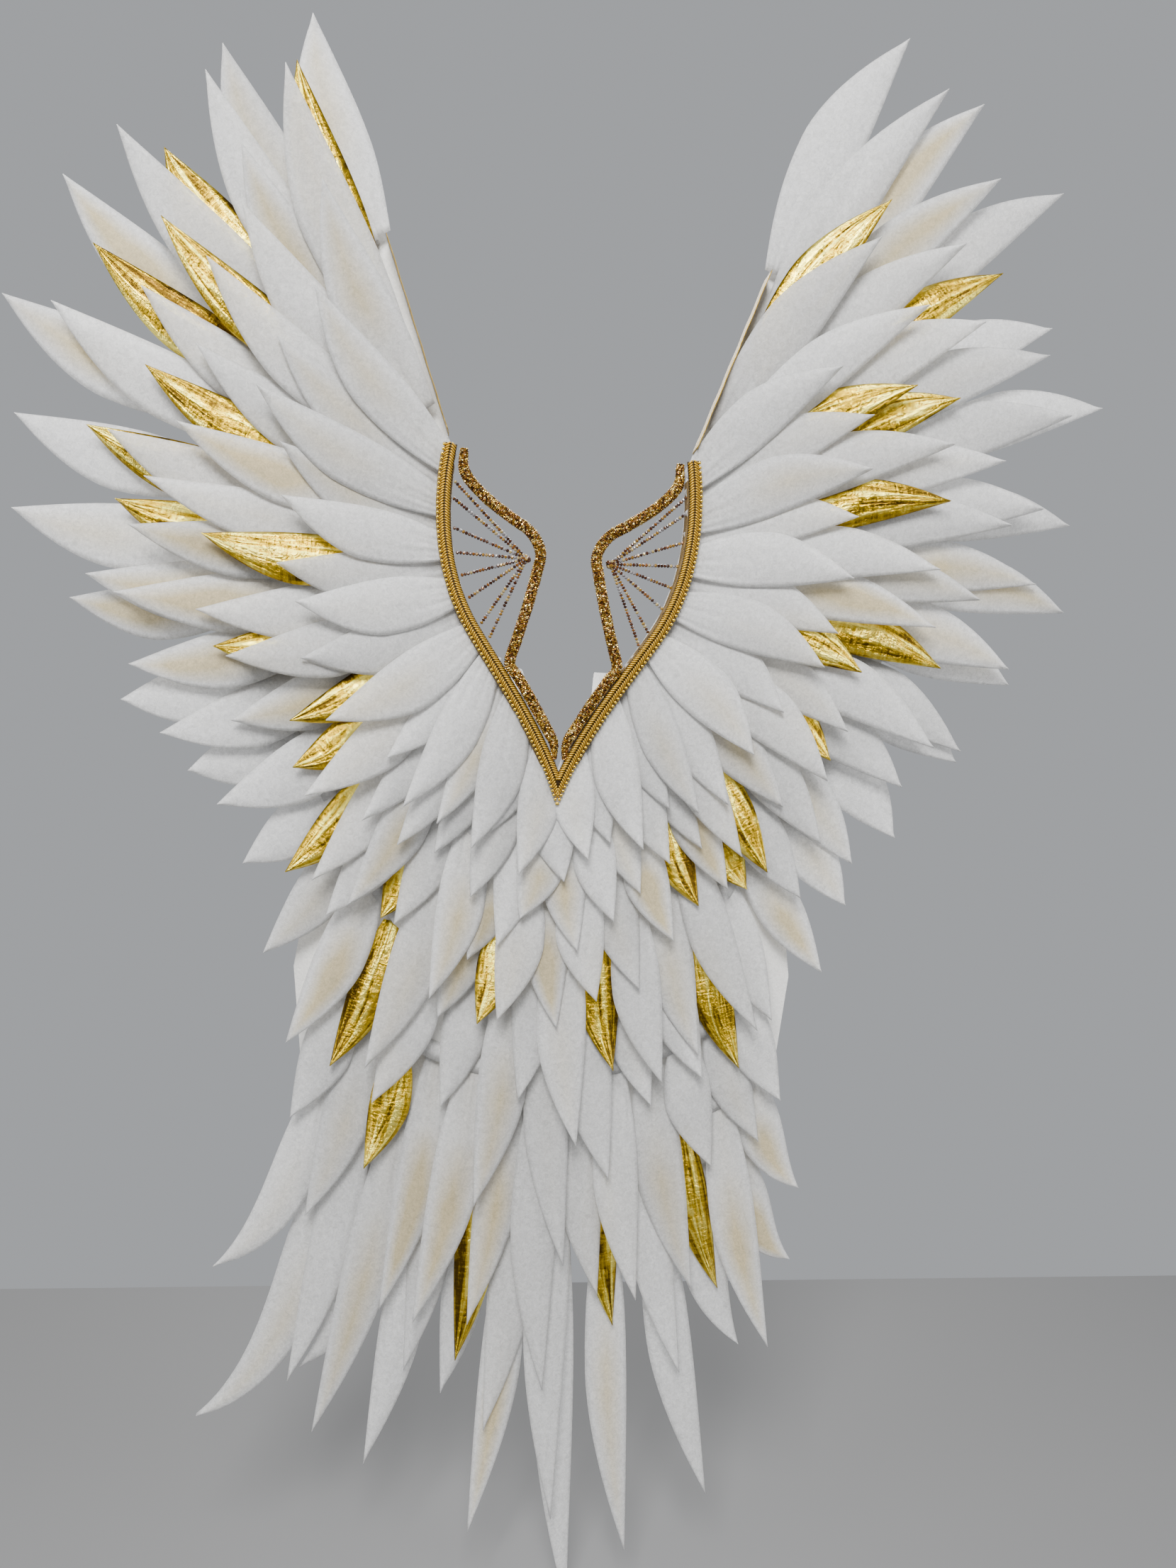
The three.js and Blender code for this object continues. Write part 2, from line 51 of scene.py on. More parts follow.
forward = Vector((
    math.sin(camera_yaw) * math.cos(camera_pitch),
    math.cos(camera_yaw) * math.cos(camera_pitch),
    -math.sin(camera_pitch),
))
level_right = Vector((math.cos(camera_yaw), -math.sin(camera_yaw), 0))
level_up = level_right.cross(forward)
right = level_right * math.cos(camera_roll) + level_up * math.sin(camera_roll)
up = level_up * math.cos(camera_roll) - level_right * math.sin(camera_roll)
camera_data = bpy.data.cameras.new("photo_camera")
camera_data.sensor_fit = "VERTICAL"
camera_data.sensor_height = sensor_height_mm
camera_data.lens = sensor_height_mm * focal_length_px / frame_height_px
camera = bpy.data.objects.new("photo_camera", camera_data)
bpy.context.scene.collection.objects.link(camera)
turn = Matrix((right, up, -forward)).transposed().to_4x4()
camera.matrix_world = Matrix.Translation(camera_place) @ turn
bpy.context.scene.camera = camera

# Floor: plain and pale, ending where the room's wall would stand.
floor_height = -1.0
floor_depth = 0.645
floor_half_width = 3.0
floor_colour = (0.16, 0.16, 0.16, 1)

bpy.ops.mesh.primitive_plane_add(size=1)
floor = bpy.context.object
floor.name = "floor"
for corner in floor.data.vertices:
    corner.co.x *= 2 * floor_half_width
    corner.co.y = floor_depth if corner.co.y > 0 else -floor_half_width
    corner.co.z = floor_height
floor_paint = bpy.data.materials.new("floor_paint")
floor_paint.use_nodes = True
floor_shader = floor_paint.node_tree.nodes["Principled BSDF"]
floor_shader.inputs["Base Color"].default_value = floor_colour
floor_shader.inputs["Roughness"].default_value = 0.6
floor.data.materials.append(floor_paint)

# Light: a pale room, with a broad soft lamp above the camera and a weaker one at each side.
room_colour = (0.62, 0.64, 0.67, 1)
room_strength = 0.64
lamps = [
    # name, place, size, watts
    ("key_lamp", (-0.5, -2.2, 2.3), 1.3, 220),
    ("left_lamp", (-2.6, -1.1, 0.9), 1.2, 34),
    ("right_lamp", (2.6, -1.3, 1.0), 1.2, 40),
    ("back_lamp", (0.3, 2.4, 2.2), 2.0, 90),
]

world = bpy.data.worlds.new("room")
bpy.context.scene.world = world
world.use_nodes = True
world.node_tree.nodes["Background"].inputs["Color"].default_value = room_colour
world.node_tree.nodes["Background"].inputs["Strength"].default_value = room_strength
for name, place, size, watts in lamps:
    lamp = bpy.data.lights.new(name, "AREA")
    lamp.size = size
    lamp.energy = watts
    lamp_object = bpy.data.objects.new(name, lamp)
    bpy.context.scene.collection.objects.link(lamp_object)
    lamp_object.location = place
    aim = Vector((0, 0, 0.1)) - Vector(place)
    lamp_object.rotation_euler = aim.to_track_quat("-Z", "Y").to_euler()

# Feather materials: a white nonwoven with fine fibres, warm in the middle of some feathers, a
# crinkled gold foil with painted reflections and a painted highlight in its colour, and a dark brown
# sheet as painted shade on the innermost band. The mesh gives u across and v along, and each
# feather its own tone and streak.
white = (0.91, 0.905, 0.895, 1)
cream = (0.80, 0.69, 0.44, 1)
# Painted shade: dark browns for the innermost band, a sheet that stands in for the shade along the
# braid's inner edge.
painted_shade_band_dark = (0.07, 0.04, 0.012)
painted_shade_band_light = (0.21, 0.13, 0.035)
# Painted reflection and painted highlight: the foil's dark brown and bright yellow stand in for the
# dark and bright that its creases reflect.
foil_painted_dark_reflection = (0.085, 0.045, 0.002, 1)
foil_gold = (0.56, 0.36, 0.012, 1)
foil_painted_highlight = (1.0, 0.84, 0.16, 1)
blotch_scale, fibre_scale, speck_scale = 14, 180, 900
crease_turns = 34.0
darkest_tone, tone_range = 0.86, 0.16
glow_share, clear_share = 0.42, 0.24
foil_shift = 9.0
emboss_scale = 330.0
painted_shade_band_grain_scale = 700


def new_material(name):
    material = bpy.data.materials.new(name)
    material.use_nodes = True
    tree = material.node_tree
    return material, tree, tree.nodes["Principled BSDF"]


def node(tree, kind, inputs=(), **settings):
    made = tree.nodes.new(kind)
    for key, value in settings.items():
        setattr(made, key, value)
    for key, value in dict(inputs).items():
        if isinstance(value, bpy.types.NodeSocket):
            tree.links.new(value, made.inputs[key])
        else:
            made.inputs[key].default_value = value
    return made


def math_node(tree, operation, first, second=0.0):
    return node(tree, "ShaderNodeMath", {0: first, 1: second}, operation=operation).outputs[0]


def product(tree, *values):
    made = values[0]
    for value in values[1:]:
        made = math_node(tree, "MULTIPLY", made, value)
    return made


def weighted_sum(tree, *terms):
    parts = [product(tree, value, weight) for value, weight in terms]
    made = parts[0]
    for part in parts[1:]:
        made = math_node(tree, "ADD", made, part)
    return made


def blend_colour(tree, share, first, second, how="MIX"):
    settings = {"data_type": "RGBA", "blend_type": how}
    return node(tree, "ShaderNodeMix", {0: share, 6: first, 7: second}, **settings).outputs[2]


def ramp(tree, fac, stops):
    made = node(tree, "ShaderNodeValToRGB", {"Fac": fac})
    elements = made.color_ramp.elements
    while len(elements) < len(stops):
        elements.new(0.5)
    for element, (position, colour) in zip(elements, stops):
        element.position = position
        element.color = colour if len(colour) == 4 else (*colour, 1)
    return made.outputs["Color"]


def grey(value):
    return (value, value, value, 1)


def noise(tree, place, scale, **inputs):
    return node(tree, "ShaderNodeTexNoise", {"Vector": place, "Scale": scale, **inputs}).outputs["Fac"]


def object_place(tree):
    return node(tree, "ShaderNodeTexCoord").outputs["Object"]


def attribute(tree, name, output="Fac"):
    return node(tree, "ShaderNodeAttribute", attribute_name=name).outputs[output]


def uv_parts(tree):
    uv = node(tree, "ShaderNodeUVMap").outputs["UV"]
    parts = node(tree, "ShaderNodeSeparateXYZ", {0: uv})
    return parts.outputs["X"], parts.outputs["Y"]


def bump(tree, shader, height, strength=1.0):
    made = node(tree, "ShaderNodeBump", {"Height": height, "Strength": strength, "Distance": 1.0})
    tree.links.new(made.outputs["Normal"], shader.inputs["Normal"])
    return made.outputs["Normal"]


def nonwoven():
    material, tree, shader = new_material("white_nonwoven")
    place = object_place(tree)
    u, v = uv_parts(tree)
    off_middle = math_node(tree, "ABSOLUTE", math_node(tree, "SUBTRACT", u, 0.5))
    middle = ramp(tree, off_middle, [(0.02, grey(1)), (0.40, grey(0))])
    along = ramp(tree, v, [(0.3, grey(0.1)), (0.55, grey(1)), (0.8, grey(0.75)), (0.98, grey(0))])
    blotch = math_node(tree, "ADD", noise(tree, place, blotch_scale, Detail=2.0), 0.3)
    warm = product(tree, middle, along, attribute(tree, "streak"), blotch)
    fibres = noise(tree, place, fibre_scale, Detail=7.0, Roughness=0.85, Distortion=1.0)
    specks = noise(tree, place, speck_scale, Detail=2.0)
    shade = ramp(tree, fibres, [(0.38, grey(0.70)), (0.60, grey(1))])
    base = blend_colour(tree, warm, white, cream)
    base = blend_colour(tree, 1.0, base, shade, "MULTIPLY")
    lighter = product(tree, attribute(tree, "tone"), tone_range)
    value = math_node(tree, "ADD", lighter, darkest_tone)
    toned = node(tree, "ShaderNodeHueSaturation", {"Color": base, "Value": value}).outputs["Color"]
    creases = math_node(tree, "SINE", product(tree, u, crease_turns))
    folds = product(tree, creases, ramp(tree, v, [(0.0, grey(1)), (0.45, grey(0))]))
    height = weighted_sum(tree, (folds, 0.0005), (fibres, 0.0011), (specks, 0.0004))
    normal = bump(tree, shader, height, 0.75)
    tree.links.new(toned, shader.inputs["Base Color"])
    shader.inputs["Roughness"].default_value = 0.55
    shader.inputs["Sheen Weight"].default_value = 0.3
    glow = node(tree, "ShaderNodeBsdfTranslucent", {"Color": toned, "Normal": normal}).outputs[0]
    lit = {0: glow_share, 1: shader.outputs[0], 2: glow}
    body = node(tree, "ShaderNodeMixShader", lit).outputs[0]
    clear = node(tree, "ShaderNodeBsdfTransparent").outputs[0]
    veil = node(tree, "ShaderNodeMixShader", {0: clear_share, 1: body, 2: clear}).outputs[0]
    tree.links.new(veil, tree.nodes["Material Output"].inputs["Surface"])
    return material


def foil():
    material, tree, shader = new_material("gold_foil")
    u, v = uv_parts(tree)
    shift = product(tree, attribute(tree, "tone"), foil_shift)

    def stretched(times_across, times_along):
        across, along = product(tree, u, times_across), product(tree, v, times_along)
        return node(tree, "ShaderNodeCombineXYZ", {0: across, 1: along, 2: shift}).outputs[0]

    runs = noise(tree, stretched(4.2, 1.6), 1.3, Detail=2.0, Distortion=0.9)
    ripple = noise(tree, stretched(2.6, 60.0), 1.0, Detail=4.0, Roughness=0.6, Distortion=0.4)
    crumple = noise(tree, stretched(9.0, 22.0), 1.0, Detail=5.0, Roughness=0.65, Distortion=0.8)
    cells = {"Vector": object_place(tree), "Scale": emboss_scale}
    emboss = node(tree, "ShaderNodeTexVoronoi", cells).outputs["Distance"]
    # Painted reflection: stretched noise takes the colour from dark brown through gold to a pale
    # highlight, in place of the reflections of the creased foil.
    painted_reflection_level = weighted_sum(tree, (runs, 0.62), (ripple, 0.22), (crumple, 0.16))
    colour = ramp(tree, painted_reflection_level, [(0.38, foil_painted_dark_reflection), (0.485, foil_gold), (0.60, foil_painted_highlight)])
    height = weighted_sum(
        tree, (crumple, 0.004), (runs, 0.006), (ripple, 0.0022), (emboss, 0.0006),
    )
    bump(tree, shader, height, 0.5)
    tree.links.new(colour, shader.inputs["Base Color"])
    shader.inputs["Metallic"].default_value = 0.92
    shader.inputs["Roughness"].default_value = 0.22
    return material


# Painted shade: a grained dark brown sheet for the innermost band.
def painted_shade_band_material():
    material, tree, shader = new_material("painted_shade_band_brown")
    weave = noise(tree, object_place(tree), painted_shade_band_grain_scale, Detail=3.0)
    brown = ramp(tree, weave, [(0.3, painted_shade_band_dark), (0.7, painted_shade_band_light)])
    tree.links.new(brown, shader.inputs["Base Color"])
    bump(tree, shader, product(tree, weave, 0.0006), 0.6)
    shader.inputs["Roughness"].default_value = 0.75
    return material


white_nonwoven = nonwoven()
gold_foil = foil()
painted_shade_band = painted_shade_band_material()

# Feather layout: the fan of the rows round the trim. A feather is a thin arched blade on its own
# layer. Its middle line is bent, and its point lies off the middle and lifts a little.
trim_half_width = 0.168
trim_point = 0.152
trim_height = 0.460
reach = 0.660
feather_width = 0.082
gold_width = 0.070
gold_reach = 0.9
feather_arch = 0.0065
sheet_thickness = 0.0008
layer_step = 0.009
root_spacing = 0.070
row_rise = 2 * layer_step / root_spacing
root_height = 0.022
rise_span = 0.900
board_front = -0.0113
board_rise = 70
clearance = 0.0003
band_inner = 0.008
band_outer = 0.012
band_front = 0.0022
wing_lean = 11
train_lean = 4
lean_level, lean_blend = 50, 15
bend_middle = 0.45
hang = 8
hang_start = -40
train_start, train_blend = -35, 30
train_density = 0.5
train_narrowing = 0.16
tip_shift = 0.6
tip_unevenness = 0.07
train_unevenness = 0.13
turn_unevenness = 3.5
width_unevenness = 0.07
tip_kind = 122
width_kind, lift_kind, twist_kind, pleat_kind, tone_kind, streak_kind, turn_kind = range(2, 9)
flat_half_width, sweep_width, sweep_depth = 0.420, 0.380, 0.070
drape_start, drape_height, drape_depth = 0.150, 0.800, 0.070
root_width, swell_end = 0.45, 0.45
widest_share, point_power, least_width = 0.5, 1.65, 0.012
arch_growth, arch_fade, arch_loss = 2.4, 0.6, 0.5
pleat_depth, pleat_end, pleat_growth, pleat_turns = 0.0012, 0.5, 8, 9
tip_lift, lift_start = 0.010, 0.65
tip_twist = 0.0022
streak_gain, streak_loss, first_row_streak = 2.4, 0.2, 0.35
steps_along = 30
steps_across = 10

trim_shares = [
    [(0.988, 1), (1.06, 0.843), (1.06, 0.626), (0.726, 0.452)],
    [(0.726, 0.452), (0.565, 0.361), (0.179, 0.174), (0, 0)],
]
fan = [
    # direction, place on the trim, reach of rows 1 to 8
    (70, 0.0, 0.38, 0.56, 0.7, 0.8, 0.88, 0, 0, 0),
    (52, 0.05, 0.38, 0.57, 0.71, 0.82, 0.91, 0, 0, 0),
    (38, 0.15, 0.39, 0.56, 0.72, 0.84, 0.93, 0, 0, 0),
    (24, 0.33, 0.4, 0.58, 0.72, 0.84, 0.93, 0, 0, 0),
    (10, 0.5, 0.36, 0.56, 0.7, 0.82, 0.92, 0, 0, 0),
    (-5, 0.64, 0.34, 0.52, 0.64, 0.75, 0.85, 0, 0, 0),
    (-20, 0.82, 0.33, 0.48, 0.59, 0.68, 0.76, 0, 0, 0),
    (-35, 0.96, 0.33, 0.44, 0.52, 0.61, 0.67, 0.7, 0.7, 0.7),
    (-50, 1.1, 0.33, 0.44, 0.54, 0.62, 0.7, 0.78, 0.84, 0.9),
    (-60, 1.2, 0.33, 0.44, 0.56, 0.68, 0.82, 0.95, 1.1, 1.22),
    (-70, 1.4, 0.31, 0.44, 0.59, 0.76, 0.94, 1.13, 1.34, 1.5),
    (-80, 1.7, 0.27, 0.41, 0.58, 0.76, 0.96, 1.2, 1.42, 1.58),
    (-90, 2.0, 0.2, 0.35, 0.53, 0.73, 0.94, 1.18, 1.4, 1.56),
]
rows = [
    # count, direction of the outermost, root and width as shares, gold feathers
    (31, 44, 0, 0.88, []),
    (34, 55, 0.094, 0.92, [6, 9, 26, 29, 31]),
    (35, 59, 0.197, 0.97, [2, 4, 8, 10, 21, 23, 25, 27, 31, 34]),
    (36, 61.5, 0.306, 1, [0, 3, 5, 6, 11, 13, 16, 19, 23, 33]),
    (35, 68, 0.44, 1, [2, 13, 21]),
    (13, -66, 0.636, 0.98, [2]),
    (12, -68, 0.8, 0.94, [4, 7, 9]),
    (10, -71, 0.95, 0.9, []),
]
# (row, feather): sideways turn of the tip in degrees, extra length as a share of the reach
strays = {(4, 34): (0, 0.07), (4, 35): (0, 0.095), (5, 32): (0, 0.04), (5, 33): (0, 0.035),
          (7, 0): (-40, 0), (7, 11): (-26, 0), (8, 0): (-50, 0), (8, 1): (-42, 0),
          (8, 8): (-20, 0), (8, 9): (-44, 0)}


def bezier(points, t):
    weights = ((1 - t) ** 3, 3 * (1 - t) ** 2 * t, 3 * (1 - t) * t * t, t ** 3)
    x = sum(w * p[0] for w, p in zip(weights, points))
    z = sum(w * p[1] for w, p in zip(weights, points))
    return np.array((x * trim_half_width, trim_point + z * trim_height))


def trim_at(place):
    return bezier(trim_shares[0], place) if place < 1 else bezier(trim_shares[1], place - 1)


def trim_inward(place):
    step = 0.002
    ahead = trim_at(min(2, place + step)) - trim_at(max(0, place - step))
    ahead /= np.linalg.norm(ahead)
    return np.array((ahead[1], -ahead[0]))


trim_line = np.array([trim_at(i / 10) for i in range(21)])


def distance_to_trim(x, z):
    point = np.stack((np.abs(x), z), -1)[..., None, :]
    start, along = trim_line[:-1], np.diff(trim_line, axis=0)
    share = np.clip(((point - start) * along).sum(-1) / (along ** 2).sum(-1), 0, 1)
    return np.linalg.norm(point - start - share[..., None] * along, axis=-1).min(-1)


def layer_depth(layer, x, z):
    rise = row_rise * rise_span * (1 - np.exp(-distance_to_trim(x, z) / rise_span))
    sweep = sweep_depth * (np.maximum(0, np.abs(x) - flat_half_width) / sweep_width) ** 2
    drape = drape_depth * (np.maximum(0, -drape_start - z) / drape_height) ** 2
    return board_front - root_height - rise + sweep - drape + layer * layer_step


def fan_at(direction, column):
    directions = [-line[0] for line in fan]
    return float(np.interp(-direction, directions, [line[column] for line in fan]))


def fan_point(direction, distance, side=1):
    root = trim_at(fan_at(direction, 1))
    angle = math.radians(direction)
    return np.array((
        side * (root[0] + distance * math.cos(angle)),
        root[1] + distance * math.sin(angle),
    ))


def run_to(direction, distance):
    near, far = 0.0, 3 * abs(distance) + 0.001
    for _ in range(26):
        run = (near + far) / 2
        if distance_to_trim(*fan_point(direction, run)) < distance:
            near = run
        else:
            far = run
    return far


def root_point(direction, distance, side):
    if distance >= 0:
        return fan_point(direction, run_to(direction, distance), side)
    place = fan_at(direction, 1)
    spot = trim_at(place) - trim_inward(place) * distance
    return np.array((side * max(spot[0], 0), spot[1]))


def train_share(direction):
    share = min(1, max(0, (train_start - direction) / train_blend))
    return share * share * (3 - 2 * share)


def row_places(row_number):
    count, first = rows[row_number - 1][:2]
    directions = np.linspace(-90, first, 81)
    tips = np.array([fan_point(d, reach * fan_at(d, row_number + 1)) for d in directions])
    denser = np.array([1 + train_density * train_share(d) for d in directions[1:]])
    run = np.concatenate(([0], np.cumsum(denser * np.linalg.norm(np.diff(tips, axis=0), axis=1))))
    half = (count - 1) / 2
    return [
        (float(np.interp(abs(i - half) / half * run[-1], run, directions)), -1 if i < half else 1)
        for i in range(count)
    ]


def uneven(row_number, index, kind):
    value = math.sin(row_number * 12.9898 + index * 78.233 + kind * 37.719) * 43758.5453
    return 2 * (value - math.floor(value)) - 1


def lean_at(direction, side):
    return 1 if side < 0 else min(1, max(-1, (-lean_level - direction) / lean_blend))


def hang_at(direction):
    share = (hang_start - direction) / (hang_start + 90)
    return hang * math.sin(math.pi * share) if share > 0 else 0


def share_past(t, start):
    return np.clip((t - start) / (1 - start), 0, 1)


def width_share(t):
    swell = root_width + (1 - root_width) * np.sin(np.pi / 2 * np.minimum(t / swell_end, 1))
    point = 1 - share_past(t, widest_share) ** point_power
    return np.maximum(swell * point, least_width)


def feather_grid(row_number, index, place, start, full_width, full_reach):
    """Points of one feather, along by across, with its layer, arch, pleats, lift and twist."""
    direction, side = place
    width = rows[row_number - 1][3]
    layer = 2 * (row_number - 1) + index % 2
    curl, extra = strays.get((row_number, index), (0, 0))
    train = train_share(direction)
    tip_range = tip_unevenness + (train_unevenness - tip_unevenness) * train
    longer = 1 + tip_range * uneven(row_number, index, tip_kind)
    wider = 1 + width_unevenness * uneven(row_number, index, width_kind)
    half = full_width * width * wider * (1 - train_narrowing * train) / 2
    start_run = start if start < 0 else run_to(direction, start)
    length = full_reach * (fan_at(direction, row_number + 1) * longer + extra) - start_run
    t = np.linspace(0, 1, steps_along + 1)
    leaning = lean_at(direction, side)
    height_share = (direction + 90) / (board_rise + 90)
    bend = leaning * (train_lean + (wing_lean - train_lean) * height_share)
    turned = turn_unevenness * uneven(row_number, index, turn_kind)
    heading = direction - hang_at(direction) + turned
    angle = np.radians(heading + bend * (t - bend_middle) - curl * t ** 3)
    step = length / steps_along
    origin = fan_point(direction, start_run)
    run_x = np.concatenate(([0], np.cumsum(np.cos(angle[:-1])))) * step + origin[0]
    run_z = np.concatenate(([0], np.cumsum(np.sin(angle[:-1])))) * step + origin[1]
    s = np.linspace(-1, 1, steps_across + 1)
    share = width_share(t)
    middle = half * tip_shift * leaning * np.where(t > widest_share, 1 - share, 0)
    reach_out = np.outer(half * share, s) + middle[:, None]
    x = side * (run_x[:, None] - reach_out * np.sin(angle)[:, None])
    z = run_z[:, None] + reach_out * np.cos(angle)[:, None]
    swell = np.minimum(1, arch_growth * t) * (1 - arch_loss * share_past(t, arch_fade))
    arch = feather_arch * np.outer(swell, 1 - s ** 2)
    phase = 3 * uneven(row_number, index, pleat_kind)
    gathered = np.clip(1 - t / pleat_end, 0, 1) * np.minimum(1, pleat_growth * t)
    pleats = pleat_depth * np.outer(gathered, np.cos(pleat_turns * s + phase))
    lift = tip_lift * (0.6 + 0.4 * uneven(row_number, index, lift_kind))
    lift = lift * share_past(t, lift_start) ** 2
    twist = tip_twist * uneven(row_number, index, twist_kind) * t
    y = layer_depth(layer, x, z) - arch + pleats - lift[:, None] - np.outer(twist, s)
    return np.stack((x, y, z), -1), side


def grid_mesh(name, grids, flags, material):
    """One mesh from grids of points, each a sheet with u across, v along and two flags."""
    points, faces, uvs, tones, streaks = [], [], [], [], []
    for (grid, side), (tone, streak) in zip(grids, flags):
        first = len(points)
        long, wide = grid.shape[:2]
        points.extend(map(tuple, grid.reshape(-1, 3)))
        uvs.extend((j / (wide - 1), i / (long - 1)) for i in range(long) for j in range(wide))
        tones.extend([tone] * long * wide)
        streaks.extend([streak] * long * wide)
        for i in range(long - 1):
            for j in range(wide - 1):
                a = first + i * wide + j
                quad = (a, a + 1, a + wide + 1, a + wide)
                faces.append(quad if side < 0 else quad[::-1])
    made = mesh_object(name, points, faces, material)
    mesh = made.data
    uv_layer = mesh.uv_layers.new(name="UVMap")
    corners = np.zeros(len(mesh.loops), dtype=np.int32)
    mesh.loops.foreach_get("vertex_index", corners)
    uv_layer.data.foreach_set("uv", np.array(uvs, dtype=np.float32)[corners].ravel())
    for attribute_name, values in (("tone", tones), ("streak", streaks)):
        layer = mesh.attributes.new(attribute_name, "FLOAT", "POINT")
        layer.data.foreach_set("value", np.array(values, dtype=np.float32))
    return made


def mesh_object(name, points, faces, material, smooth=True):
    mesh = bpy.data.meshes.new(name)
    mesh.from_pydata(points, [], faces)
    mesh.materials.append(material)
    mesh.polygons.foreach_set("use_smooth", [smooth] * len(mesh.polygons))
    made = bpy.data.objects.new(name, mesh)
    bpy.context.scene.collection.objects.link(made)
    return made


def apply_modifier(piece, kind, **settings):
    for other in bpy.context.selected_objects:
        other.select_set(False)
    bpy.context.view_layer.objects.active = piece
    piece.select_set(True)
    modifier = piece.modifiers.new(kind.lower(), kind)
    for key, value in settings.items():
        setattr(modifier, key, value)
    bpy.ops.object.modifier_apply(modifier=modifier.name)


def finish_piece(piece, slot, *nodes):
    if nodes:
        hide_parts(*nodes)
    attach(piece, "root")


def band_grid(row_number, places):
    """The band under a row's roots as a closed strip, round its section by along the row."""
    root = reach * rows[row_number - 1][2]
    sections = []
    for direction, side in places:
        near = root_point(direction, root - band_inner, side)
        far = root_point(direction, root + band_outer, side)
        layer = 2 * (row_number - 1)
        near_front, far_front = (float(layer_depth(layer, *p)) - band_front for p in (near, far))
        back = board_front - clearance
        sections.append([
            (near[0], back, near[1]), (far[0], back, far[1]), (far[0], far_front, far[1]),
            (near[0], near_front, near[1]), (near[0], back, near[1]),
        ])
    return np.array(sections), 1


gold_number = 0
for row_number, (_, _, root_share, _, gold) in enumerate(rows, 1):
    root = reach * root_share
    places = row_places(row_number)
    grids, flags = [], []
    for index, place in enumerate(places):
        tone = 0.5 + 0.5 * uneven(row_number, index, tone_kind)
        if index in gold:
            gold_number += 1
            name = f"gold_feather_{gold_number:02d}"
            gold_root = root + band_outer + clearance
            gold_run = gold_reach * reach
            grid = feather_grid(row_number, index, place, gold_root, gold_width, gold_run)
            piece = grid_mesh(f"foil_{name}", [grid], [(tone, 0)], gold_foil)
            apply_modifier(piece, "SOLIDIFY", thickness=sheet_thickness, offset=0)
            finish_piece(piece, "gold_foil", name)
            continue
        streak = max(0.0, streak_gain * uneven(row_number, index, streak_kind) - streak_loss)
        if row_number == 1:
            streak *= first_row_streak
        white_root = root - band_inner / 2
        grids.append(feather_grid(row_number, index, place, white_root, feather_width, reach))
        flags.append((tone, streak))
    feathers = grid_mesh(f"white_feathers_row_{row_number}", grids, flags, white_nonwoven)
    apply_modifier(feathers, "SOLIDIFY", thickness=sheet_thickness, offset=0)
    finish_piece(feathers, "white_feather", f"feather_row_{row_number}")
    # Painted shade: the innermost row's band is dark brown in place of the shade along the braid; the
    # other bands are white.
    cloth = painted_shade_band if row_number == 1 else white_nonwoven
    strip = band_grid(row_number, places)
    band = grid_mesh(f"sewing_band_row_{row_number}", [strip], [(0.5, 0)], cloth)
    finish_piece(band, "white_feather")

# Trim materials: gold lace strands, small metal beads, a rope covered in copper and gold stones,
# and glass beads. Each stone and each glass bead carries its own tint.
lace_gold = (0.50, 0.30, 0.035, 1)
bead_gold = (0.85, 0.58, 0.07, 1)
# Near-black brown for the braid's backing, the rope cores and the bead threads; where it shows between
# strands and stones it is painted shade.
backing_and_gap_shade_brown = (0.055, 0.028, 0.006, 1)
stone_tints = [
    (0.17, 0.060, 0.008), (0.27, 0.12, 0.012), (0.42, 0.22, 0.02), (0.70, 0.46, 0.08),
    (0.07, 0.026, 0.004), (0.24, 0.14, 0.014), (0.34, 0.15, 0.03), (0.92, 0.72, 0.28),
]
glass_tints = [
    (0.035, 0.010, 0.003), (0.060, 0.016, 0.004), (0.17, 0.06, 0.008), (0.30, 0.18, 0.04),
    (0.22, 0.20, 0.20), (0.22, 0.11, 0.012), (0.08, 0.032, 0.012), (0.36, 0.27, 0.11),
]


def tinted_metal(name, base, roughness, metallic, scale, depth):
    material, tree, shader = new_material(name)
    grain = noise(tree, object_place(tree), scale, Detail=3.0)
    worn = ramp(tree, grain, [(0.3, grey(0.62)), (0.7, grey(1))])
    tint = attribute(tree, "tint", "Color") if base is None else base
    tree.links.new(blend_colour(tree, 1.0, tint, worn, "MULTIPLY"), shader.inputs["Base Color"])
    bump(tree, shader, product(tree, grain, depth), 0.6)
    shader.inputs["Metallic"].default_value = metallic
    shader.inputs["Roughness"].default_value = roughness
    return material


lace = tinted_metal("gold_lace", lace_gold, 0.38, 0.8, 1400, 0.0005)
small_beads = tinted_metal("gold_beads", bead_gold, 0.18, 0.95, 500, 0.0001)
backing_and_gap_shade = tinted_metal("lace_backing_and_gap_shade", backing_and_gap_shade_brown, 0.6, 0.3, 900, 0.0006)
stones = tinted_metal("crystal_stones", None, 0.16, 0.7, 400, 0.0001)
glass = tinted_metal("glass_beads", None, 0.14, 0.15, 300, 0.0001)


def template(kind, **settings):
    """Points and faces of a small primitive, which is then taken away."""
    if kind == "ball":
        bpy.ops.mesh.primitive_uv_sphere_add(radius=1, **settings)
    else:
        bpy.ops.mesh.primitive_ico_sphere_add(radius=1, **settings)
    made = bpy.context.object
    points = np.array([corner.co for corner in made.data.vertices])
    faces = [tuple(face.vertices) for face in made.data.polygons]
    mesh = made.data
    bpy.data.objects.remove(made)
    bpy.data.meshes.remove(mesh)
    return points, faces


def scatter(name, shape, frames, material, tints=None, smooth=False):
    """One mesh of many copies of a shape. A frame is its middle and its three half axes."""
    points, faces = shape
    all_points, all_faces = [], []
    for middle, axes in frames:
        first = len(all_points)
        all_points.extend(map(tuple, points @ np.array(axes) + np.array(middle)))
        all_faces.extend(tuple(first + i for i in face) for face in faces)
    made = mesh_object(name, all_points, all_faces, material, smooth)
    if tints is not None:
        layer = made.data.attributes.new("tint", "FLOAT_COLOR", "POINT")
        colours = np.array([(*tint, 1) for tint in tints], dtype=np.float32)
        layer.data.foreach_set("color", np.repeat(colours, len(points), axis=0).ravel())
    return made


